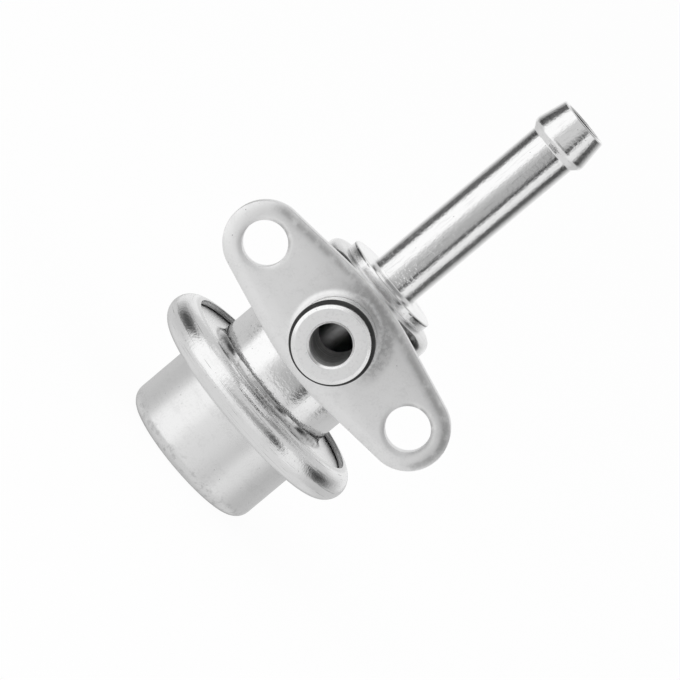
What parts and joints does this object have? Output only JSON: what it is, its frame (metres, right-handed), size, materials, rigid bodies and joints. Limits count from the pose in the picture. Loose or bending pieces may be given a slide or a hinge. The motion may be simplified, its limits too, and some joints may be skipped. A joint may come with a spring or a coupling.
{
  "type": "fuel pressure regulator",
  "caption": "Crimped diaphragm fuel pressure regulator with a two-bolt plate, an O-ring inlet spigot and a barbed return pipe.",
  "frame": {"origin": "centre of the spring cover's flat end, on the body's axis", "axes": "+Z along the body from the spring cover to the tip of the return pipe, -Y out of the inlet spigot, X along the line of the two bolts"},
  "size_m": [0.0444, 0.0422, 0.0746],
  "materials": {
    "cover_zinc": "satin zinc plate on drawn steel",
    "bright_zinc": "bright zinc plate",
    "plate_zinc": "satin zinc plate on punched steel",
    "turned_steel": "turned and zinc plated",
    "black_rubber": "moulded O-ring rubber",
    "fabric_rubber": "fabric-backed membrane rubber",
    "valve_brass": "turned brass",
    "ball_steel": "ground and polished ball",
    "spring_steel": "spring wire"
  },
  "bodies": {
    "housing": {"spring_cover": "cover_zinc", "fuel_chamber": "bright_zinc", "mounting_plate": "plate_zinc", "inlet_spigot": "turned_steel", "spigot_o_ring": "black_rubber", "pipe_collar": "bright_zinc", "return_pipe": "bright_zinc", "valve_seat": "valve_brass", "spring_seat": "cover_zinc"},
    "valve_group": {"diaphragm": "fabric_rubber", "diaphragm_retainer": "cover_zinc", "spring_dish": "cover_zinc", "valve_holder": "valve_brass", "ball_clip": "spring_steel", "ball_spring": "spring_steel", "main_spring": "spring_steel"},
    "ball": {"valve_ball": "ball_steel"}
  },
  "joints": [
    {"name": "valve_lift", "type": "slide", "parent": "housing", "child": "valve_group", "axis": [0, 0, -1], "range_m": [0, 0.001], "stiffness_N_per_m": 17000, "springref_m": -0.0045, "deforming": ["main_spring", "diaphragm"]},
    {"name": "ball_swivel", "type": "hinge", "parent": "valve_group", "child": "ball", "pos_m": [0, 0, 0.0189], "axis": [1, 0, 0], "range_deg": [-2, 2]}
  ]
}
